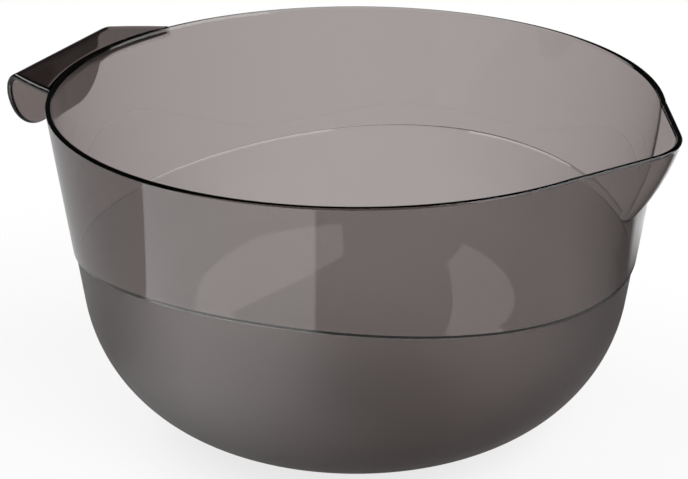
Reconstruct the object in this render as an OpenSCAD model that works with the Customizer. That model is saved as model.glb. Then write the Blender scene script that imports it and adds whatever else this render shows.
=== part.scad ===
// Batter bowl: a clear upper wall with a pouring beak, a frosted cup that laps into it from below,
// a hooked handle bonded to the rim and a soft ring under the base.
// Lengths in millimetres. The origin is on the bowl's axis, on the surface that it stands on.
// The beak points along +X, the handle along -X, and +Z is up.

/* [Bowl] */
// Outer radius of the clear wall at the rim
rim_r = 120; // [108:1:135]
// Height of the rim above the table
bowl_h = 134; // [124:1:148]
// Lean of the wall away from upright, in degrees
wall_draft = 8.5; // [7:0.1:11]
// Thickness of the clear upper wall
upper_t = 2.4; // [2:0.1:3.2]
// Outer radius of the cup's rounded belly
belly_r = 64; // [58:1:72]
// Radius of the flat under the cup
base_r = 48; // [43:1:56]
// Thickness of the cup's floor
base_t = 2.4; // [2:0.1:4]

/* [Joint line] */
// How far the clear wall stands proud of the frosted cup
step_d = 0.8; // [0.6:0.1:1.1]
// Drop of the joint line below the rim at the beak and at the handle
joint_drop = 61.6; // [54:0.2:66]
// How much higher the joint line runs at the bowl's two sides
joint_rise = 11; // [5:0.2:15]
// Height of the cup's lap inside the clear wall
lap_h = 1.2; // [0.8:0.1:2.5]
// Room for adhesive in each bonded joint
bond_gap = 0.1; // [0.05:0.05:0.2]

/* [Beak] */
// Reach of the beak's tip beyond the rim
beak_out = 11.6; // [9:0.1:15]
// Half the width of the beak where it leaves the rim
beak_half_w = 48; // [44:1:52]
// Radius of the curve of the beak's keel
keel_r = 86.5; // [80:0.5:94]
// Height of the centre of that curve above the rim
keel_lift = 23.4; // [18:0.1:30]
// Outer radius of the rounded keel
nose_r = 32; // [26:0.5:36]
// Thickness of the beak's wall
beak_t = 2.2; // [1.8:0.1:2.8]

/* [Handle] */
// Reach of the flap's outer face beyond the rim
handle_out = 19; // [15:0.5:28]
// Thickness of the handle's plate and flap
handle_t = 2.4; // [2:0.1:3.4]
// Outer radius of the bend between plate and flap
bend_r = 7.5; // [5:0.1:10]
// Half the width of the flap, on its inner face
flap_half_w = 34.5; // [28:0.5:42]
// Splay of the plate's two ends, widening towards the rim, in degrees
plate_splay = 26; // [15:1:35]
// Drop of the flap's lower edge below the rim
flap_drop = 28.2; // [24:0.2:34]
// Radius of the flap's two lower corners
flap_corner_r = 24; // [14:0.5:24]
// Depth of the groove in the rim that takes the handle's tongue
groove_d = 1; // [0.7:0.1:1.3]
// Thickness of the tongue
tongue_t = 1; // [0.7:0.1:1.4]

/* [Foot ring] */
// Middle radius of the soft ring under the base
ring_r = 37; // [32:0.5:40]
// Width of the ring
ring_w = 6; // [4:0.5:8]
// Depth of the groove that holds the ring
ring_seat = 1; // [0.6:0.1:1.2]
// How far the ring stands proud of the base
ring_proud = 0.6; // [0.3:0.1:1.2]

/* [Hidden] */
$fn = 180;
// Number of straight facets in the rounded keel's profile
keel_facets = 12;
// Length by which every cut runs past the face that it opens
overrun = 1;

clear_smoke = [0.36, 0.33, 0.32, 0.6];
frosted_smoke = [0.46, 0.44, 0.43, 0.8];
soft_smoke = [0.25, 0.24, 0.24];

// The wall is a straight cone, tangent to a belly arc that ends on the base
lean_t = tan(wall_draft);
lean_c = cos(wall_draft);
lean_s = sin(wall_draft);
cup_t = upper_t - step_d;
base_z = ring_proud;
floor_z = base_z + base_t;
cup_rim_r = rim_r - step_d / lean_c;
belly_in = cup_rim_r - (bowl_h - base_z) * lean_t - belly_r / lean_c;
belly_out = base_r - belly_in;
belly_root = pow(lean_t * belly_out, 2) - (1 + pow(lean_t, 2)) * (pow(belly_out, 2) - pow(belly_r, 2));
belly_z = base_z + (lean_t * belly_out + sqrt(belly_root)) / (1 + pow(lean_t, 2));
belly_c = belly_in + lean_t * (belly_z - base_z);

// The joint line is a valley: a wide arc across the bowl, lowest at the beak and at the handle
joint_z = bowl_h - joint_drop;
joint_r = rim_r - joint_drop * lean_t;
valley_r = (pow(joint_r, 2) + pow(joint_rise, 2)) / (2 * joint_rise);
lap_top = joint_z + joint_rise + lap_h;

// The beak is turned about a cross axis above the rim; its V meets the rim circle at the beak's two ends
beak_reach = rim_r + beak_out;
keel_x = beak_reach - sqrt(pow(keel_r, 2) - pow(keel_lift, 2));
mouth_x = sqrt(pow(rim_r, 2) - pow(beak_half_w, 2));
mouth_r = norm([mouth_x - keel_x, keel_lift]);
nose_c = keel_r - nose_r;
keel_fall = nose_c - mouth_r;
keel_span = pow(beak_half_w, 2) - pow(nose_r, 2);
keel_root = pow(beak_half_w * keel_fall, 2) - keel_span * (pow(keel_fall, 2) - pow(nose_r, 2));
keel_slope = (beak_half_w * keel_fall + sqrt(keel_root)) / keel_span;
keel_angle = atan(keel_slope);
// The V stops a little past the beak's ends, where it already lies inside the wall
beak_end_w = beak_half_w + upper_t;

// The handle hangs outside the rim, and its plate's plan starts well inside the wall
handle_reach = rim_r + handle_out;
flap_in = handle_reach - handle_t;
plate_in = rim_r - flap_half_w;
tongue_z = bowl_h - handle_t / 2;

// Solid of the bowl's profile, offset outwards by grow from the cup's outer face.
// It is turned from the side, so that its seam lies clear of beak and handle.
module bowl_solid(grow, low_z, top_z) {
  arc_r = belly_r + grow;
  arc_top_z = belly_z - arc_r * lean_s;
  arc_top_r = belly_c + arc_r * lean_c;
  top_r = cup_rim_r + grow / lean_c - (bowl_h - top_z) * lean_t;
  rotate([0, 0, 90]) rotate_extrude() union() {
    polygon([[0, arc_top_z], [arc_top_r, arc_top_z], [top_r, top_z], [0, top_z]]);
    translate([0, low_z]) square([belly_c, arc_top_z - low_z]);
    intersection() {
      translate([belly_c, belly_z]) circle(arc_r);
      translate([belly_c, low_z]) square([arc_r, arc_top_z - low_z]);
    }
  }
}

// Everything above the valley of the joint line, whose lowest line is at low_z
module above_joint(low_z) {
  translate([0, 0, low_z + valley_r])
    rotate([0, 90, 0])
      cylinder(r = valley_r, h = 2 * (handle_reach + beak_reach), center = true);
}

// Beak turned about its cross axis, offset inwards by inset
module beak_solid(inset) {
  tip_r = nose_r - inset;
  line_r = nose_c + tip_r / cos(keel_angle);
  end_r = line_r - beak_end_w * keel_slope;
  tip = [for (i = [0:keel_facets])
    let (a = keel_angle * (2 * i / keel_facets - 1))
    [nose_c + tip_r * cos(a), tip_r * sin(a)]];
  translate([keel_x, 0, bowl_h + keel_lift])
    rotate([90, 0, 0])
      rotate_extrude()
        polygon(concat([[0, -beak_end_w], [end_r, -beak_end_w]], tip,
                       [[end_r, beak_end_w], [0, beak_end_w]]));
}

// Everything below the rim plane, over the whole bowl
module below_rim() {
  translate([0, 0, bowl_h / 2])
    cube([2 * handle_reach, 2 * handle_reach, bowl_h], center = true);
}

// Plan of the handle's plate, splayed towards the rim, as an upright prism from low_z to top_z
module plate_prism(grow, low_z, top_z) {
  in_w = flap_half_w + (flap_in - plate_in) * tan(plate_splay) + grow;
  out_w = flap_half_w - (handle_reach - flap_in) * tan(plate_splay) + grow;
  translate([0, 0, low_z])
    linear_extrude(top_z - low_z)
      polygon([[plate_in, -in_w], [handle_reach, -out_w], [handle_reach, out_w], [plate_in, in_w]]);
}

// Ring about the bowl's axis
module ring(in_r, out_r, low_z, top_z) {
  translate([0, 0, low_z]) difference() {
    cylinder(r = out_r, h = top_z - low_z);
    translate([0, 0, -overrun]) cylinder(r = in_r, h = top_z - low_z + 2 * overrun);
  }
}

// Section of the handle: a level plate, a round bend and an upright flap
module hook_section() {
  bend_x = handle_reach - bend_r;
  bend_z = bowl_h - bend_r;
  translate([plate_in, bowl_h - handle_t]) square([bend_x - plate_in, handle_t]);
  translate([flap_in, bowl_h - flap_drop]) square([handle_t, flap_drop - bend_r]);
  intersection() {
    translate([bend_x, bend_z]) difference() {
      circle(bend_r);
      circle(bend_r - handle_t);
    }
    translate([bend_x, bend_z]) square(bend_r);
  }
}

// Face of the flap seen from outside: two round lower corners, with room above for the plate
module flap_face() {
  corner_y = flap_half_w - flap_corner_r;
  corner_z = bowl_h - flap_drop + flap_corner_r;
  for (side = [-1, 1])
    translate([side * corner_y, corner_z]) circle(flap_corner_r);
  translate([-corner_y, bowl_h - flap_drop]) square([2 * corner_y, flap_corner_r]);
  translate([-rim_r, corner_z]) square([2 * rim_r, flap_drop]);
}

// Clear moulding: conical wall, rim, beak, the skirt over the cup and the groove for the handle
module upper_bowl() {
  color(clear_smoke) difference() {
    intersection() {
      union() {
        bowl_solid(step_d, floor_z, bowl_h);
        intersection() {
          beak_solid(0);
          below_rim();
        }
      }
      above_joint(joint_z);
    }
    bowl_solid(-cup_t, floor_z, bowl_h + overrun);
    beak_solid(beak_t);
    difference() {
      bowl_solid(bond_gap, floor_z, lap_top + overrun);
      above_joint(joint_z + lap_h + bond_gap);
    }
    rotate([0, 0, 180]) intersection() {
      ring(rim_r - groove_d, rim_r + overrun,
           tongue_z - tongue_t / 2 - bond_gap, tongue_z + tongue_t / 2 + bond_gap);
      plate_prism(bond_gap, joint_z, bowl_h);
    }
  }
}

// Frosted moulding: rounded cup with a flat floor, whose upper edge laps inside the clear wall
module lower_bowl() {
  color(frosted_smoke) difference() {
    bowl_solid(0, base_z, lap_top);
    bowl_solid(-cup_t, floor_z, lap_top + overrun);
    above_joint(joint_z + lap_h);
    ring(ring_r - ring_w / 2, ring_r + ring_w / 2, base_z - overrun, base_z + ring_seat);
  }
}

// Hooked handle: plate level with the rim, flap hanging outside the wall, tongue in the rim's groove
module handle() {
  color(clear_smoke) rotate([0, 0, 180]) union() {
    difference() {
      intersection() {
        rotate([90, 0, 0]) linear_extrude(2 * rim_r, center = true) hook_section();
        plate_prism(0, joint_z, bowl_h + overrun);
        rotate([90, 0, 90]) linear_extrude(handle_reach + overrun) flap_face();
      }
      bowl_solid(step_d + bond_gap, floor_z, bowl_h + overrun);
    }
    intersection() {
      ring(rim_r - groove_d + bond_gap, rim_r + handle_t, tongue_z - tongue_t / 2, tongue_z + tongue_t / 2);
      plate_prism(0, joint_z, bowl_h);
    }
  }
}

// Soft ring that the bowl stands on, pressed into the base
module foot_ring() {
  color(soft_smoke)
    ring(ring_r - ring_w / 2 + bond_gap, ring_r + ring_w / 2 - bond_gap, 0, base_z + ring_seat - bond_gap);
}

upper_bowl();
lower_bowl();
handle();
foot_ring();
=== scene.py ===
import math

import bmesh
import bpy
import numpy as np
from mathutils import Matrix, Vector


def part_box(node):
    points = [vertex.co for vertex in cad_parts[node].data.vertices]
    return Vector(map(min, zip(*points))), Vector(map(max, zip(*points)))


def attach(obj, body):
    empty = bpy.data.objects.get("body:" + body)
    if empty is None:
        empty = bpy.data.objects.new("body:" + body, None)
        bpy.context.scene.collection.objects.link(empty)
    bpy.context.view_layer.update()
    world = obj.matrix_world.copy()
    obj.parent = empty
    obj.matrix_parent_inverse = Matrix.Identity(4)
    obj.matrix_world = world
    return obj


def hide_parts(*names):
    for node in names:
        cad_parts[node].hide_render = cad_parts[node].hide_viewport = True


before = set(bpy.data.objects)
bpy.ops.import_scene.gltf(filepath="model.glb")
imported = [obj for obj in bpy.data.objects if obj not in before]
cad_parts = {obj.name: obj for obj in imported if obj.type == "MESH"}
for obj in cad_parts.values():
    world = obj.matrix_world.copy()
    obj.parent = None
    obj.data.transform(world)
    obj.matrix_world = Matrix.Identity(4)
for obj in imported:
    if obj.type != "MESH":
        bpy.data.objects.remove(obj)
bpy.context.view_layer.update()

# A batter bowl in smoke plastic: a clear wall with a pouring beak and a hooked handle, lapped over a frosted
# cup that stands on a soft ring. The beak points along +X, the handle along -X.

MM = 0.001

# Sizes that the frame gives
upper_low, upper_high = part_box("upper_bowl")
lower_low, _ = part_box("lower_bowl")
handle_low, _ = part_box("handle")
ring_low, ring_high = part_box("foot_ring")
rim_z = upper_high[2]
rim_r = upper_high[1]
beak_reach = upper_high[0]
joint_z = upper_low[2]
base_z = lower_low[2]
handle_reach = -handle_low[0]
flap_low_z = handle_low[2]
ring_out_r = ring_high[0]

# Sizes that it doesn't give: the wall, the cup and the lapped joint between them
wall_lean = math.radians(8.5)
upper_t = 2.4 * MM
rim_round = 1.15 * MM
step_d = 0.8 * MM
belly_r = 64.0 * MM
base_r = 48.0 * MM
floor_t = 2.4 * MM
joint_rise = 11.0 * MM
lap_h = 1.2 * MM
bond_gap = 0.1 * MM
skirt_round = 0.2 * MM
skirt_slope = 0.55 * MM
scarf_drop = 0.6 * MM
lip_w = 0.3 * MM
lip_drop = 0.8 * MM
etched_past_joint = 0.3 * MM

# The beak
beak_half_w = 48.0 * MM
keel_r = 86.5 * MM
keel_lift = 23.4 * MM
nose_r = 32.0 * MM
beak_t = 2.2 * MM
crease_depth = 45.0 * MM
beak_margin = math.radians(1)

# The handle
handle_t = 2.4 * MM
bend_r = 7.5 * MM
flap_half_w = 34.5 * MM
plate_splay = math.radians(26.0)
flap_corner_r = 24.0 * MM
root_round = 2.2 * MM

# The foot ring
ring_w = 6.0 * MM
ring_seat = 1.0 * MM
ring_round = 0.5 * MM

# How closely places are worked out, how many points make each part, and how near two points count as one
halvings = 50
joint_passes = 4
lift_passes = 3
corner_steps = 7
belly_steps = 61
wall_rows = 15
beak_rows = 25
wall_columns = 420
beak_columns = 181
cup_columns = 240
ring_columns = 160
same_point = 0.003 * MM

# The wall is a straight cone, tangent to a belly arc that ends on the base
lean_t = math.tan(wall_lean)
lean_c = math.cos(wall_lean)
lean_s = math.sin(wall_lean)
cup_t = upper_t - step_d
floor_z = base_z + floor_t
belly_in = rim_r - step_d / lean_c - (rim_z - base_z) * lean_t - belly_r / lean_c
belly_out = base_r - belly_in
belly_root = (lean_t * belly_out) ** 2 - (1 + lean_t ** 2) * (belly_out ** 2 - belly_r ** 2)
belly_z = base_z + (lean_t * belly_out + math.sqrt(belly_root)) / (1 + lean_t ** 2)
belly_c = belly_in + lean_t * (belly_z - base_z)

# The joint line is a wide arc across the bowl, lowest at the beak and at the handle
joint_r = rim_r - (rim_z - joint_z) * lean_t
valley_r = (joint_r ** 2 + joint_rise ** 2) / (2 * joint_rise)

# The beak is turned about a cross axis above the rim; its V meets the rim circle at the beak's two ends
keel_x = beak_reach - math.sqrt(keel_r ** 2 - keel_lift ** 2)
keel_z = rim_z + keel_lift
mouth_x = math.sqrt(rim_r ** 2 - beak_half_w ** 2)
nose_c = keel_r - nose_r
keel_fall = nose_c - math.hypot(mouth_x - keel_x, keel_lift)
keel_span = beak_half_w ** 2 - nose_r ** 2
keel_root = (beak_half_w * keel_fall) ** 2 - keel_span * (keel_fall ** 2 - nose_r ** 2)
keel_slope = (beak_half_w * keel_fall + math.sqrt(keel_root)) / keel_span
keel_angle = math.atan(keel_slope)
beak_end = math.atan2(beak_half_w, mouth_x) + beak_margin
beak_limit = 1.2 * beak_reach


def cone_radius(z, inset):
    """Radius of the wall's cone at a height, set in from the clear wall's outer face."""
    return rim_r - (rim_z - z) * lean_t - inset / lean_c


def joint_height(azimuth, low_z, inset):
    """Height of the joint line at an azimuth, where its lowest point is at low_z."""
    rise = np.zeros_like(azimuth)
    for _ in range(joint_passes):
        across = cone_radius(low_z + rise, inset) * np.sin(azimuth)
        rise = valley_r - np.sqrt(valley_r ** 2 - across ** 2)
    return low_z + rise


def beak_radius(azimuth, z, inset):
    """Radius at which a ray from the bowl's axis leaves the beak, by halving, or zero past its ends."""
    tip_r = nose_r - inset
    line_r = nose_c + tip_r / math.cos(keel_angle)
    near = np.full(np.broadcast(azimuth, z).shape, keel_x)
    far = np.full_like(near, beak_limit)
    for _ in range(halvings):
        middle = (near + far) / 2
        across = np.abs(middle * np.sin(azimuth))
        turn_r = np.hypot(middle * np.cos(azimuth) - keel_x, keel_z - z)
        nose = nose_c + np.sqrt(np.maximum(tip_r ** 2 - across ** 2, 0))
        allowed = np.where(across < tip_r * math.sin(keel_angle), nose, line_r - keel_slope * across)
        inside = turn_r < allowed
        near = np.where(inside, middle, near)
        far = np.where(inside, far, middle)
    return np.where(np.abs(azimuth) < beak_end, near, 0)


def crease_height(azimuth, top_z, wall_inset, beak_inset):
    """Height at which the beak's face meets the wall's cone, or top_z where there is no beak."""
    low = np.full_like(azimuth, top_z - crease_depth)
    high = np.full_like(azimuth, top_z)
    for _ in range(halvings):
        middle = (low + high) / 2
        outside = beak_radius(azimuth, middle, beak_inset) > cone_radius(middle, wall_inset)
        high = np.where(outside, middle, high)
        low = np.where(outside, low, middle)
    return high


def linear(hex_colour):
    """Linear RGBA of an sRGB hex colour."""
    values = [int(hex_colour[i:i + 2], 16) / 255 for i in (1, 3, 5)]
    return [v / 12.92 if v <= 0.04045 else ((v + 0.055) / 1.055) ** 2.4 for v in values] + [1.0]


def add_node(tree, kind, inputs=None, **settings):
    """Adds a node with its settings, and links or sets its inputs."""
    node = tree.nodes.new(kind)
    for key, value in settings.items():
        setattr(node, key, value)
    for key, value in (inputs or {}).items():
        if isinstance(value, bpy.types.NodeSocket):
            tree.links.new(value, node.inputs[key])
        else:
            node.inputs[key].default_value = value
    return node


def new_material(name):
    """Material with an empty node tree, and that tree."""
    material = bpy.data.materials.new(name)
    material.use_nodes = True
    material.node_tree.nodes.clear()
    return material, material.node_tree


# Finishes

# What the smoke tint lets through: a little more red than blue
smoke_hue = linear("#5e2500")


def smoke_san(material, roughness, bump, density):
    """Gives a material the body of smoke SAN, which lets most light past where it casts a shadow.

    The tint sits in the plastic, so a wall seen through another one is darker.
    """
    tree = material.node_tree
    shader = add_node(tree, "ShaderNodeBsdfPrincipled",
                      {"Base Color": linear("#ffffff"), "Roughness": roughness, "IOR": 1.57,
                       "Transmission Weight": 1.0, "Normal": bump.outputs["Normal"]})
    through = add_node(tree, "ShaderNodeBsdfTransparent", {"Color": linear("#f2f1f1")})
    path = add_node(tree, "ShaderNodeLightPath")
    surface = add_node(tree, "ShaderNodeMixShader",
                       {0: path.outputs["Is Shadow Ray"], 1: shader.outputs[0], 2: through.outputs[0]})
    tint = add_node(tree, "ShaderNodeVolumeAbsorption", {"Color": smoke_hue, "Density": density})
    add_node(tree, "ShaderNodeOutputMaterial", {"Surface": surface.outputs[0], "Volume": tint.outputs[0]})
    return material


def polished_smoke_san(name, density):
    """Injection-moulded SAN from a polished mould: glass-clear and dark where it is seen on edge.

    A slow ripple and a slight change of gloss show the flow of the moulding.
    """
    material, tree = new_material(name)
    place = add_node(tree, "ShaderNodeTexCoord").outputs["Object"]
    ripple_size = 34 * MM
    haze_size = 9 * MM
    ripple = add_node(tree, "ShaderNodeTexNoise",
                      {"Vector": place, "Scale": 1 / ripple_size, "Detail": 1.0, "Roughness": 0.4})
    haze = add_node(tree, "ShaderNodeTexNoise",
                    {"Vector": place, "Scale": 1 / haze_size, "Detail": 3.0, "Roughness": 0.55})
    gloss = add_node(tree, "ShaderNodeMapRange",
                     {"Value": haze.outputs["Fac"], "From Min": 0.3, "From Max": 0.7,
                      "To Min": 0.015, "To Max": 0.045})
    bump = add_node(tree, "ShaderNodeBump",
                    {"Height": ripple.outputs["Fac"], "Strength": 0.25, "Distance": 0.12 * MM})
    return smoke_san(material, gloss.outputs["Result"], bump, density)


def etched_smoke_san(name, density):
    """The same SAN from a mould etched on the cup's outside: the view through it is lost in a soft grey.

    Etching leaves pits of about 0.05 mm, drawn here at 0.5 mm so that they show. The cup's inside is
    polished, and its outside attribute tells the two apart.
    """
    material, tree = new_material(name)
    place = add_node(tree, "ShaderNodeTexCoord").outputs["Object"]
    outside = add_node(tree, "ShaderNodeAttribute", attribute_name="outside").outputs["Fac"]
    pit_size = 0.5 * MM
    cloud_size = 22 * MM
    cloud = add_node(tree, "ShaderNodeTexNoise",
                     {"Vector": place, "Scale": 1 / cloud_size, "Detail": 2.0, "Roughness": 0.5})
    etched = add_node(tree, "ShaderNodeMapRange",
                      {"Value": cloud.outputs["Fac"], "From Min": 0.3, "From Max": 0.7,
                       "To Min": 0.44, "To Max": 0.5})
    gloss = add_node(tree, "ShaderNodeMix", {0: outside, 2: 0.03, 3: etched.outputs["Result"]})
    pits = add_node(tree, "ShaderNodeTexNoise",
                    {"Vector": place, "Scale": 1 / pit_size, "Detail": 2.0, "Roughness": 0.6})
    depth = add_node(tree, "ShaderNodeMath", {0: pits.outputs["Fac"], 1: outside}, operation="MULTIPLY")
    bump = add_node(tree, "ShaderNodeBump",
                    {"Height": depth.outputs[0], "Strength": 0.2, "Distance": 0.05 * MM})
    return smoke_san(material, gloss.outputs[0], bump, density)


def soft_smoke_tpe():
    """Moulded thermoplastic elastomer: milky, slightly waxy smoke, with fine grip grain of 0.8 mm."""
    material, tree = new_material("moulded_smoke_TPE")
    place = add_node(tree, "ShaderNodeTexCoord").outputs["Object"]
    grain_size = 0.8 * MM
    grain = add_node(tree, "ShaderNodeTexNoise",
                     {"Vector": place, "Scale": 1 / grain_size, "Detail": 2.0, "Roughness": 0.5})
    gloss = add_node(tree, "ShaderNodeMapRange",
                     {"Value": grain.outputs["Fac"], "To Min": 0.5, "To Max": 0.68})
    bump = add_node(tree, "ShaderNodeBump",
                    {"Height": grain.outputs["Fac"], "Strength": 0.4, "Distance": 0.08 * MM})
    shader = add_node(tree, "ShaderNodeBsdfPrincipled",
                      {"Base Color": linear("#d9d4d2"), "Roughness": gloss.outputs["Result"], "IOR": 1.5,
                       "Transmission Weight": 1.0, "Normal": bump.outputs["Normal"]})
    tint = add_node(tree, "ShaderNodeVolumeAbsorption", {"Color": smoke_hue, "Density": 200.0})
    add_node(tree, "ShaderNodeOutputMaterial", {"Surface": shader.outputs[0], "Volume": tint.outputs[0]})
    return material


def white_board_painted_glow():
    """Matt white board that takes a soft shadow. The plastic shows it as plain white behind a wall.

    Mirrored in a wall it glows as painted light: a softer painted glow all round, with painted shade near
    the bowl's foot, and a bright painted sector to the left of the camera and one behind the bowl. Away from
    the bowl it is plain white, as the studio is.
    """
    material, tree = new_material("white_board_painted_glow")
    path = add_node(tree, "ShaderNodeLightPath").outputs
    place = add_node(tree, "ShaderNodeTexCoord").outputs["Object"]
    spot = add_node(tree, "ShaderNodeSeparateXYZ", {0: place}).outputs
    reach = add_node(tree, "ShaderNodeVectorMath", {0: place}, operation="LENGTH").outputs["Value"]
    bearing = add_node(tree, "ShaderNodeMath", {0: spot["Y"], 1: spot["X"]}, operation="ARCTAN2")
    off = add_node(tree, "ShaderNodeMath", {0: bearing.outputs[0]}, operation="ABSOLUTE").outputs[0]

    # The painted bright sector, a painted reflection, has crisp sides where the wall mirrors it, and soft
    # ones near the foot, for the cup
    sector_half = math.radians(30)
    sector_soft = add_node(tree, "ShaderNodeMapRange",
                           {"Value": reach, "From Min": 0.12, "From Max": 0.2,
                            "To Min": math.radians(24), "To Max": math.radians(0.5)}).outputs["Result"]
    sector_in = add_node(tree, "ShaderNodeMath", {0: sector_half, 1: sector_soft}, operation="SUBTRACT")
    sector_out = add_node(tree, "ShaderNodeMath", {0: sector_half, 1: sector_soft})
    sector = add_node(tree, "ShaderNodeMapRange",
                      {"Value": off, "From Min": sector_in.outputs[0], "From Max": sector_out.outputs[0],
                       "To Min": 1.45, "To Max": 0.0})
    sector_reach = add_node(tree, "ShaderNodeMapRange",
                            {"Value": reach, "From Min": 0.08, "From Max": 0.14,
                             "To Min": 0.1, "To Max": 1.0})

    # The softer painted glow all round fades behind the bowl, and near its foot it turns to painted shade
    around = add_node(tree, "ShaderNodeMapRange",
                      {"Value": off, "From Min": math.radians(115), "From Max": math.radians(150),
                       "To Min": 0.56, "To Max": 0.08})
    around_reach = add_node(tree, "ShaderNodeMapRange",
                            {"Value": reach, "From Min": 0.1, "From Max": 0.2,
                             "To Min": 0.32, "To Max": 1.0})
    soft_light = add_node(tree, "ShaderNodeMath",
                          {0: around.outputs["Result"], 1: around_reach.outputs["Result"]},
                          operation="MULTIPLY")

    # The painted sector behind the bowl starts past its foot, and gives the wall a painted white highlight
    # under the beak
    behind = add_node(tree, "ShaderNodeMapRange",
                      {"Value": off, "From Min": math.radians(158), "From Max": math.radians(164),
                       "To Min": 0.0, "To Max": 0.9})
    behind_reach = add_node(tree, "ShaderNodeMapRange", {"Value": reach, "From Min": 0.2, "From Max": 0.25})
    back_light = add_node(tree, "ShaderNodeMath",
                          {0: behind.outputs["Result"], 1: behind_reach.outputs["Result"],
                           2: soft_light.outputs[0]}, operation="MULTIPLY_ADD")
    painted_reflection_glow = add_node(tree, "ShaderNodeMath",
                        {0: sector.outputs["Result"], 1: sector_reach.outputs["Result"],
                         2: back_light.outputs[0]}, operation="MULTIPLY_ADD")

    # The board glows plain white through the plastic and, in part, for the camera; for mirrored rays its
    # glow is the painted reflection above
    plain = add_node(tree, "ShaderNodeMath", {0: path["Is Transmission Ray"], 1: path["Is Camera Ray"]},
                     operation="MAXIMUM")
    strength = add_node(tree, "ShaderNodeMix", {0: plain.outputs[0], 2: painted_reflection_glow.outputs[0], 3: 1.0})
    glow = add_node(tree, "ShaderNodeEmission",
                    {"Color": linear("#ffffff"), "Strength": strength.outputs[0]})
    paint = add_node(tree, "ShaderNodeBsdfDiffuse", {"Color": linear("#fafafa")})
    whiter = add_node(tree, "ShaderNodeMapRange",
                      {"Value": reach, "From Min": 0.4, "From Max": 1.0, "To Min": 0.75, "To Max": 1.0})
    lifted = add_node(tree, "ShaderNodeMath", {0: path["Is Camera Ray"], 1: whiter.outputs["Result"]},
                      operation="MULTIPLY")
    share = add_node(tree, "ShaderNodeMath", {0: path["Is Glossy Ray"], 1: lifted.outputs[0]},
                     operation="MAXIMUM")
    board = add_node(tree, "ShaderNodeMixShader",
                     {0: share.outputs[0], 1: paint.outputs[0], 2: glow.outputs[0]})
    add_node(tree, "ShaderNodeOutputMaterial", {"Surface": board.outputs[0]})
    material.cycles.emission_sampling = "NONE"
    return material


wall_finish = polished_smoke_san("polished_smoke_SAN", 444.0)
# The handle takes a copy of the same SAN with a denser tint, so it shows darker than the wall
handle_finish = polished_smoke_san("polished_smoke_SAN_denser_copy", 665.0)
etched_finish = etched_smoke_san("etched_smoke_SAN", 632.0)
ring_finish = soft_smoke_tpe()


# Shapes

def lofted_mesh(name, columns, sharp_rows):
    """Closed mesh through columns of points that each run round a closed section.

    Points that coincide in a column are shared. The edges along sharp_rows are sharp.
    """
    column_count, row_count, _ = columns.shape
    points = []
    numbers = np.zeros((column_count, row_count), int)
    for c in range(column_count):
        for r in range(row_count):
            same = r and np.abs(columns[c, r] - columns[c, r - 1]).max() < same_point
            if not same:
                points.append(columns[c, r])
            numbers[c, r] = len(points) - 1
    faces = []
    sharp = set()
    for c in range(column_count):
        d = (c + 1) % column_count
        for r in range(row_count):
            q = (r + 1) % row_count
            corners = list(dict.fromkeys((numbers[c, r], numbers[d, r], numbers[d, q], numbers[c, q])))
            if len(corners) > 2:
                faces.append([int(i) for i in corners])
        sharp.update(frozenset((int(numbers[c, r]), int(numbers[d, r]))) for r in sharp_rows)
    mesh = bpy.data.meshes.new(name)
    mesh.from_pydata([tuple(p) for p in points], [], faces)
    mesh.polygons.foreach_set("use_smooth", [True] * len(mesh.polygons))
    mesh.set_sharp_from_angle(angle=math.radians(30))
    for edge in mesh.edges:
        if frozenset(edge.vertices) in sharp:
            edge.use_edge_sharp = True
    return mesh


def placed(name, mesh, finish):
    """Object at the origin that shows a mesh in one finish."""
    piece = bpy.data.objects.new(name, mesh)
    mesh.materials.append(finish)
    bpy.context.scene.collection.objects.link(piece)
    return piece


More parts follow.
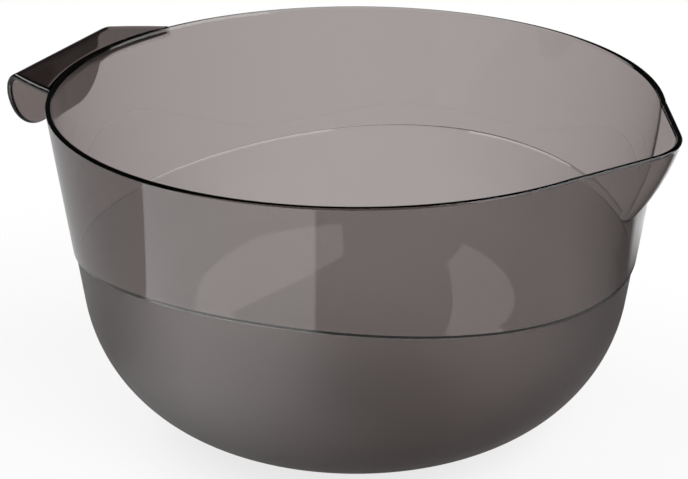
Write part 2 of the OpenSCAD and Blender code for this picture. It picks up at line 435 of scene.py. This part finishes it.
def clear_wall_mesh():
    """Conical wall with a rounded rim, the creased beak, and the skirt that laps over the cup.

    Its columns stand closer together along the beak.
    """
    beak_span = math.radians(25)
    along_beak = np.linspace(-beak_span, beak_span, beak_columns)
    along_wall = np.linspace(beak_span, 2 * math.pi - beak_span, wall_columns)[1:-1]
    azimuth = np.concatenate((along_beak, along_wall))
    azimuth = np.where(azimuth > math.pi, azimuth - 2 * math.pi, azimuth)
    count = len(azimuth)
    edge_z = rim_z - rim_round
    outer_crease = crease_height(azimuth, edge_z, 0, 0)
    inner_crease = crease_height(azimuth, edge_z, upper_t, beak_t)
    skirt_z = joint_height(azimuth, joint_z, 0)
    shoulder_z = joint_height(azimuth, joint_z + lap_h + bond_gap, step_d)
    recess_inset = step_d - bond_gap
    rows = []

    def row(radius, z):
        radius = np.broadcast_to(radius, (count,))
        z = np.broadcast_to(z, (count,))
        rows.append(np.stack((radius * np.cos(azimuth), radius * np.sin(azimuth), z), axis=1))

    # Outer face, from the skirt up to the beak's crease and on to the rim
    for turn in np.linspace(math.pi / 2, 0, corner_steps):
        z = skirt_z + skirt_round * (1 - math.sin(turn))
        row(cone_radius(z, skirt_round * (1 - math.cos(turn))), z)
    wall_foot = skirt_z + skirt_round
    for share in np.linspace(0, 1, wall_rows)[1:]:
        z = wall_foot + (outer_crease - wall_foot) * share
        row(cone_radius(z, 0), z)
    outer_crease_row = len(rows) - 1
    for share in np.linspace(0, 1, beak_rows)[1:]:
        z = outer_crease + (edge_z - outer_crease) * share
        row(np.maximum(beak_radius(azimuth, z, 0), cone_radius(z, 0)), z)

    # Rounded rim, between the outer and the inner face
    outer_top = np.maximum(beak_radius(azimuth, rim_z, 0), cone_radius(rim_z, 0))
    inner_top = np.maximum(beak_radius(azimuth, rim_z, beak_t), cone_radius(rim_z, upper_t))
    share_round = rim_round / (outer_top - inner_top)
    for turn in np.linspace(0, math.pi / 2, corner_steps)[1:]:
        row(outer_top + (inner_top - outer_top) * share_round * (1 - math.cos(turn)),
            edge_z + rim_round * math.sin(turn))
    for turn in np.linspace(math.pi / 2, 0, corner_steps)[:-1]:
        row(inner_top + (outer_top - inner_top) * share_round * (1 - math.cos(turn)),
            edge_z + rim_round * math.sin(turn))

    # Inner face, down to the shoulder over the cup
    for share in np.linspace(1, 0, beak_rows):
        z = inner_crease + (edge_z - inner_crease) * share
        row(np.maximum(beak_radius(azimuth, z, beak_t), cone_radius(z, upper_t)), z)
    inner_crease_row = len(rows) - 1
    for share in np.linspace(1, 0, wall_rows)[1:]:
        z = shoulder_z + (inner_crease - shoulder_z) * share
        row(cone_radius(z, upper_t), z)

    # Sloping shoulder and recess that take the cup's edge
    recess_foot = skirt_z + skirt_slope
    for share in np.linspace(1, 0, 4):
        z = recess_foot + (shoulder_z - scarf_drop - recess_foot) * share
        row(cone_radius(z, recess_inset), z)
    return lofted_mesh("clear_wall", np.stack(rows, axis=1), (outer_crease_row, inner_crease_row))


def turned_profile_tree():
    """Turns a profile about the bowl's axis; points with a lift follow the joint line up the wall's cone."""
    tree = bpy.data.node_groups.new("turned_profile", "GeometryNodeTree")
    for label, kind in (("Profile", "Geometry"), ("Columns", "Int"), ("Joint sweep radius", "Float"),
                        ("Wall lean", "Float"), ("Finish", "Material")):
        tree.interface.new_socket(label, in_out="INPUT", socket_type="NodeSocket" + kind)
    tree.interface.new_socket("Turned piece", in_out="OUTPUT", socket_type="NodeSocketGeometry")
    given = add_node(tree, "NodeGroupInput").outputs

    size = add_node(tree, "GeometryNodeAttributeDomainSize", {0: given["Profile"]}, component="MESH")
    rows = size.outputs["Point Count"]
    seam = add_node(tree, "ShaderNodeMath", {0: given["Columns"], 1: 1.0}, operation="ADD")
    grid = add_node(tree, "GeometryNodeMeshGrid", {"Vertices X": seam.outputs[0], "Vertices Y": rows})
    number = add_node(tree, "GeometryNodeInputIndex").outputs[0]
    row = add_node(tree, "ShaderNodeMath", {0: number, 1: rows}, operation="MODULO").outputs[0]

    # What each point of the grid takes from its row of the profile
    sampled = {}
    for label, kind, source in (
            ("place", "FLOAT_VECTOR", add_node(tree, "GeometryNodeInputPosition")),
            ("lift", "FLOAT", add_node(tree, "GeometryNodeInputNamedAttribute", {"Name": "lift"})),
            ("outside", "FLOAT", add_node(tree, "GeometryNodeInputNamedAttribute", {"Name": "outside"}))):
        sample = add_node(tree, "GeometryNodeSampleIndex",
                          {"Geometry": given["Profile"], "Value": source.outputs[0], "Index": row},
                          data_type=kind)
        sampled[label] = sample.outputs[0]
    section = add_node(tree, "ShaderNodeSeparateXYZ", {0: sampled["place"]}).outputs

    # Each step makes a named value from one or two others. The lifted radius settles in a few passes.
    value = {"number": number, "rows": rows, "columns": given["Columns"],
             "sweep": given["Joint sweep radius"], "lean": given["Wall lean"],
             "radius": section["X"], "height": section["Z"],
             "lifted radius": section["X"], "lift share": sampled["lift"]}
    turning = (("middle", "ADD", "number", 0.5),
               ("columns before", "DIVIDE", "middle", "rows"),
               ("column", "FLOOR", "columns before", 0.0),
               ("turn", "DIVIDE", "column", "columns"),
               ("angle", "MULTIPLY", "turn", 2 * math.pi),
               ("sine", "SINE", "angle", 0.0),
               ("cosine", "COSINE", "angle", 0.0),
               ("sweep square", "MULTIPLY", "sweep", "sweep"))
    lifting = (("across", "MULTIPLY", "lifted radius", "sine"),
               ("across square", "MULTIPLY", "across", "across"),
               ("drop square", "SUBTRACT", "sweep square", "across square"),
               ("drop", "SQRT", "drop square", 0.0),
               ("rise", "SUBTRACT", "sweep", "drop"),
               ("lift", "MULTIPLY", "rise", "lift share"),
               ("outwards", "MULTIPLY", "lift", "lean"),
               ("lifted radius", "ADD", "radius", "outwards"))
    placing = (("x", "MULTIPLY", "lifted radius", "cosine"),
               ("y", "MULTIPLY", "lifted radius", "sine"),
               ("z", "ADD", "height", "lift"))
    for label, operation, first, second in turning + lift_passes * lifting + placing:
        step = add_node(tree, "ShaderNodeMath", {0: value.get(first, first), 1: value.get(second, second)},
                        operation=operation)
        value[label] = step.outputs[0]
    point = add_node(tree, "ShaderNodeCombineXYZ", {"X": value["x"], "Y": value["y"], "Z": value["z"]})
    turned = add_node(tree, "GeometryNodeSetPosition",
                      {"Geometry": grid.outputs["Mesh"], "Position": point.outputs[0]})
    marked = add_node(tree, "GeometryNodeStoreNamedAttribute",
                      {"Geometry": turned.outputs[0], "Name": "outside", "Value": sampled["outside"]},
                      data_type="FLOAT", domain="POINT")
    closed = add_node(tree, "GeometryNodeMergeByDistance",
                      {"Geometry": marked.outputs[0], "Distance": 0.002 * MM})
    smooth = add_node(tree, "GeometryNodeSetShadeSmooth", {"Geometry": closed.outputs[0]})
    real = add_node(tree, "GeometryNodeRealizeInstances", {"Geometry": smooth.outputs[0]})
    finished = add_node(tree, "GeometryNodeSetMaterial",
                        {"Geometry": real.outputs[0], "Material": given["Finish"]})
    add_node(tree, "NodeGroupOutput", {0: finished.outputs[0]})
    return tree


def turned_piece(name, tree, profile, column_count, finish):
    """Turned mesh of a profile of (radius, height, lift, outside) points."""
    mesh = bpy.data.meshes.new(name + "_profile")
    points = [(r, 0, z) for r, z, _, _ in profile]
    mesh.from_pydata(points, [(i, i + 1) for i in range(len(points) - 1)], [])
    for label, index in (("lift", 2), ("outside", 3)):
        values = mesh.attributes.new(label, "FLOAT", "POINT")
        values.data.foreach_set("value", [float(p[index]) for p in profile])
    piece = bpy.data.objects.new(name, mesh)
    bpy.context.scene.collection.objects.link(piece)
    turning = piece.modifiers.new("turning", "NODES")
    turning.node_group = tree
    sockets = {s.name: s.identifier for s in tree.interface.items_tree if s.in_out == "INPUT"}
    turning[sockets["Columns"]] = column_count
    turning[sockets["Joint sweep radius"]] = valley_r
    turning[sockets["Wall lean"]] = lean_t
    turning[sockets["Finish"]] = finish
    whole = bpy.data.meshes.new_from_object(piece.evaluated_get(bpy.context.evaluated_depsgraph_get()))
    piece.modifiers.clear()
    piece.data = whole
    whole.name = name
    bpy.data.meshes.remove(mesh)
    tidy = bmesh.new()
    tidy.from_mesh(whole)
    bmesh.ops.recalc_face_normals(tidy, faces=tidy.faces)
    tidy.to_mesh(whole)
    tidy.free()
    whole.set_sharp_from_angle(angle=math.radians(20))
    return piece


def cup_profile():
    """Section of the cup, from the axis under the base, round its edge and back to the axis on the floor."""
    seat_in = ring_out_r + bond_gap - ring_w
    seat_out = ring_out_r + bond_gap
    seat_z = base_z + ring_seat
    profile = [(0.0, base_z, 0, 1), (seat_in, base_z, 0, 1), (seat_in, seat_z, 0, 0),
               (seat_out, seat_z, 0, 0), (seat_out, base_z, 0, 0)]
    start = math.asin((base_z - belly_z) / belly_r)
    for turn in np.linspace(start, -wall_lean, belly_steps):
        profile.append((belly_c + belly_r * math.cos(turn), belly_z + belly_r * math.sin(turn), 0, 1))
    arc_top_z = profile[-1][1]
    for share in np.linspace(0, 1, 5)[1:]:
        z = arc_top_z + (joint_z + etched_past_joint - arc_top_z) * share
        profile.append((cone_radius(z, step_d), z, share, 1))
    edge_z = joint_z + lap_h
    outer_edge_z = edge_z - scarf_drop
    profile.append((cone_radius(outer_edge_z, step_d), outer_edge_z, 1, 0))
    profile.append((cone_radius(edge_z, upper_t - lip_w), edge_z - scarf_drop * lip_w / cup_t, 1, 0))
    profile.append((cone_radius(edge_z - lip_drop, upper_t), edge_z - lip_drop, 1, 0))
    in_r = belly_r - cup_t
    in_top_z = belly_z - in_r * lean_s
    for share in np.linspace(1, 0, 6)[1:-1]:
        z = in_top_z + (edge_z - lip_drop - in_top_z) * share
        profile.append((cone_radius(z, upper_t), z, share, 0))
    end = math.asin((floor_z - belly_z) / in_r)
    for turn in np.linspace(-wall_lean, end, belly_steps):
        profile.append((belly_c + in_r * math.cos(turn), belly_z + in_r * math.sin(turn), 0, 0))
    profile.append((0.0, floor_z, 0, 0))
    return profile


def ring_profile():
    """Section of the foot ring, with rounded edges, closed on itself."""
    inner = ring_out_r - ring_w + 2 * bond_gap + ring_round
    outer = ring_out_r - ring_round
    low = ring_low[2] + ring_round
    high = ring_high[2] - ring_round
    profile = []
    for r, z, first in ((outer, low, -90), (outer, high, 0), (inner, high, 90), (inner, low, 180)):
        for turn in np.linspace(math.radians(first), math.radians(first + 90), corner_steps):
            profile.append((r + ring_round * math.cos(turn), z + ring_round * math.sin(turn), 0, 0))
    return profile + profile[:1]


def hook_handle_mesh():
    """Plate level with the rim, a round bend and a flap with two round corners, with rounded free edges."""
    plate_end = handle_reach - bend_r
    bend_z = rim_z - bend_r
    flap_in = handle_reach - handle_t
    half_t = handle_t / 2
    corner_y = flap_half_w - flap_corner_r
    corner_z = flap_low_z + flap_corner_r
    splay = math.tan(plate_splay)
    wall_r = rim_r + bond_gap / lean_c

    def half_width(reach):
        return flap_half_w + (flap_in - reach) * splay

    # Where the plate's splayed end meets the wall
    wall_half_w = 0.0
    too_wide = rim_r
    for _ in range(halvings):
        middle = (wall_half_w + too_wide) / 2
        if middle < half_width(math.sqrt(wall_r ** 2 - middle ** 2)):
            wall_half_w = middle
        else:
            too_wide = middle
    edge = half_t * (1 - np.cos(np.linspace(0, math.pi / 2, corner_steps)))
    sections = []

    def section(half_w, place, distance):
        inner = np.linspace(-1, 1, 25)[1:-1] * (half_w - half_t)
        across = np.concatenate((-half_w + edge, inner, half_w - edge[::-1]))
        away = np.clip(distance(across) / half_t, 0, 1)
        thick = half_t * np.sqrt(1 - (1 - away) ** 2)
        outer = [place(a, t) for a, t in zip(across, thick)]
        under = [place(a, -t) for a, t in zip(across[::-1], thick[::-1])]
        sections.append(outer + under[1:-1])

    # The plate, with sections closer together at its root
    slope_c = math.cos(plate_splay)
    root_share = 0.2
    root_steps = root_share * np.linspace(0, 1, 9)[:-1] ** 2
    for share in np.concatenate((root_steps, np.linspace(root_share, 1, 9))):
        end_w = wall_half_w + (half_width(plate_end) - wall_half_w) * share

        def on_plate(a, t, share=share):
            along = (plate_end - math.sqrt(wall_r ** 2 - a * a)) * share
            short = max(root_round - along, 0.0)
            drop = root_round - math.sqrt(root_round ** 2 - short ** 2)
            z = rim_z - half_t + t + min(t / half_t, 0.0) * drop
            at_wall = math.sqrt((wall_r - (rim_z - z) * lean_t) ** 2 - a * a)
            return at_wall + (plate_end - at_wall) * share, a, z

        section(end_w, on_plate, lambda a, w=end_w: (w - np.abs(a)) * slope_c)

    # The bend
    for turn in np.linspace(0, math.pi / 2, 19)[1:]:
        bend_w = half_width(plate_end + (bend_r - half_t) * math.sin(turn))

        def on_bend(a, t, turn=turn):
            r = bend_r - half_t + t
            return plate_end + r * math.sin(turn), a, bend_z + r * math.cos(turn)

        section(bend_w, on_bend, lambda a, w=bend_w: w - np.abs(a))

    # The flap, whose round corners start in the bend
    flap_w = half_width(handle_reach - half_t)
    start = math.asin((corner_z - bend_z) / flap_corner_r)
    for turn in np.linspace(start, math.pi / 2, 45)[1:]:
        below = flap_corner_r * math.sin(turn)
        z = corner_z - below
        row_w = min(flap_w, corner_y + math.sqrt(max(flap_corner_r ** 2 - below ** 2, 0.0)))

        def on_flap(a, t, z=z):
            return handle_reach - half_t + t, a, z

        def to_edge(a, below=below, w=row_w):
            past = np.maximum(np.abs(a) - corner_y, 0)
            return np.minimum(w - np.abs(a), flap_corner_r - np.hypot(past, below))

        section(row_w, on_flap, to_edge)

    # Faces along the sections and across both ends; the hook points to -X
    loops = np.array(sections)
    loops[:, :, :2] *= -1
    section_count, point_count, _ = loops.shape
    mesh = bpy.data.meshes.new("hook_handle")
    faces = []
    for s in range(section_count - 1):
        for p in range(point_count):
            q = (p + 1) % point_count
            first, second = s * point_count, (s + 1) * point_count
            faces.append((first + p, first + q, second + q, second + p))
    for first in (0, (section_count - 1) * point_count):
        for p in range(point_count // 2):
            q = (point_count - p) % point_count
            faces.append((first + p, first + p + 1, first + point_count - p - 1, first + q))
    faces = [tuple(dict.fromkeys(f)) for f in faces]
    mesh.from_pydata([tuple(p) for p in loops.reshape(-1, 3)], [], [f for f in faces if len(f) > 2])
    tidy = bmesh.new()
    tidy.from_mesh(mesh)
    bmesh.ops.remove_doubles(tidy, verts=tidy.verts, dist=0.001 * MM)
    bmesh.ops.dissolve_degenerate(tidy, edges=tidy.edges, dist=0.0005 * MM)
    bmesh.ops.recalc_face_normals(tidy, faces=tidy.faces)
    tidy.to_mesh(mesh)
    tidy.free()
    mesh.polygons.foreach_set("use_smooth", [True] * len(mesh.polygons))
    mesh.set_sharp_from_angle(angle=math.radians(40))
    return mesh


# Pieces

clear_wall = placed("clear_wall", clear_wall_mesh(), wall_finish)
hook_handle = placed("hook_handle", hook_handle_mesh(), handle_finish)

turning_rule = turned_profile_tree()
frosted_cup = turned_piece("frosted_cup", turning_rule, cup_profile(), cup_columns, etched_finish)
soft_ring = turned_piece("soft_foot_ring", turning_rule, ring_profile(), ring_columns, ring_finish)

for piece, node, slot in ((clear_wall, "upper_bowl", "clear_plastic"),
                          (hook_handle, "handle", "clear_plastic"),
                          (frosted_cup, "lower_bowl", "frosted_plastic"),
                          (soft_ring, "foot_ring", "soft_ring")):
    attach(piece, "root")
    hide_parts(node)

# Floor, light and camera

floor_mesh = bpy.data.meshes.new("white_board")
floor_board = placed("white_board", floor_mesh, white_board_painted_glow())
floor_r = 2.5
# Bearing of the board's painted bright sector, to the left of the camera
sector_bearing = math.radians(-106)
board = bmesh.new()
bmesh.ops.create_circle(board, cap_ends=True, segments=96, radius=floor_r)
board.to_mesh(floor_mesh)
board.free()
floor_board.rotation_euler.z = sector_bearing

camera_aim = Vector((-4.1, -2.0, 73.9)) * MM
camera_turn = math.radians(26.2)
camera_rise = math.radians(22.0)
camera_distance = 1.0304

world = bpy.data.worlds.new("white_studio")
bpy.context.scene.world = world
world.use_nodes = True
world.node_tree.nodes.clear()
sky_tree = world.node_tree
path = add_node(sky_tree, "ShaderNodeLightPath")
direction = add_node(sky_tree, "ShaderNodeTexCoord").outputs["Generated"]
height = add_node(sky_tree, "ShaderNodeSeparateXYZ", {0: direction}).outputs["Z"]
slope = add_node(sky_tree, "ShaderNodeMath", {0: height}, operation="ABSOLUTE").outputs[0]
# Bright-field studio: through the plastic the white backdrop shows all round, between dark drapes above and
# below. Mirrored in the plastic the studio is dark, so that edges and outlines are dark. Matt surfaces get a
# little light from it, and the camera sees it white.
backdrop = add_node(sky_tree, "ShaderNodeMapRange",
                    {"Value": slope, "From Min": 0.14, "From Max": 0.3, "To Min": 1.0, "To Max": 0.05},
                    interpolation_type="SMOOTHSTEP").outputs["Result"]
in_plastic = add_node(sky_tree, "ShaderNodeMix",
                      {0: path.outputs["Is Transmission Ray"], 2: 0.02, 3: backdrop}).outputs[0]
lit_by = add_node(sky_tree, "ShaderNodeMix",
                  {0: path.outputs["Is Glossy Ray"], 2: 0.3, 3: in_plastic}).outputs[0]
shown = add_node(sky_tree, "ShaderNodeMix",
                 {0: path.outputs["Is Camera Ray"], 2: lit_by, 3: 1.0}).outputs[0]
sky = add_node(sky_tree, "ShaderNodeBackground", {"Color": linear("#ffffff"), "Strength": shown})
add_node(sky_tree, "ShaderNodeOutputWorld", {"Surface": sky.outputs[0]})


def softbox(name, place, aim, width, height, radiance, lit):
    """One-sided area lamp that lights a collection, unseen by the camera and through the plastic."""
    lamp = bpy.data.lights.new(name, "AREA")
    lamp.shape = "RECTANGLE"
    lamp.size = width
    lamp.size_y = height
    lamp.energy = radiance * width * height * math.pi
    box = bpy.data.objects.new(name, lamp)
    box.location = place
    box.rotation_euler = (Vector(aim) - Vector(place)).to_track_quat("-Z", "Y").to_euler()
    box.visible_camera = False
    box.visible_transmission = False
    box.light_linking.receiver_collection = lit
    bpy.context.scene.collection.objects.link(box)


# The boxes are linked off the clear wall, whose rim stays black. The inside of the cup mirrors them as two
# pale leaves behind the front wall, and its lip as a light line.
lit = bpy.data.collections.new("lit_by_softboxes")
for piece in (frosted_cup, hook_handle, soft_ring, floor_board):
    lit.objects.link(piece)
softbox("right_softbox", (1.2, -0.2, 1.45), (0.0, -0.2, 1.45), width=3.4, height=2.1, radiance=2.4, lit=lit)
softbox("left_softbox", (-1.2, -0.7, 1.5), (0.0, -0.7, 1.5), width=3.0, height=1.8, radiance=2.6, lit=lit)

# A card that lights the clear wall alone gives its rim a grey edge toward the beak
rim_lit = bpy.data.collections.new("lit_by_rim_card")
rim_lit.objects.link(clear_wall)
softbox("rim_card", (1.2, 0.5, 1.45), (0.0, 0.5, 1.45), width=2.0, height=2.1, radiance=2.4, lit=rim_lit)

lens = bpy.data.cameras.new("photo_view")
lens.sensor_width = 36.0
lens.lens = 136.05
camera = bpy.data.objects.new("photo_view", lens)
camera_side = Vector((math.sin(camera_turn), -math.cos(camera_turn), math.tan(camera_rise))).normalized()
camera.location = camera_aim + camera_side * camera_distance
camera.rotation_euler = (-camera_side).to_track_quat("-Z", "Y").to_euler()
bpy.context.scene.collection.objects.link(camera)
bpy.context.scene.camera = camera
bpy.context.scene.view_settings.view_transform = "Standard"
bpy.context.scene.cycles.max_bounces = 32
bpy.context.scene.cycles.transmission_bounces = 32
bpy.context.scene.cycles.transparent_max_bounces = 32
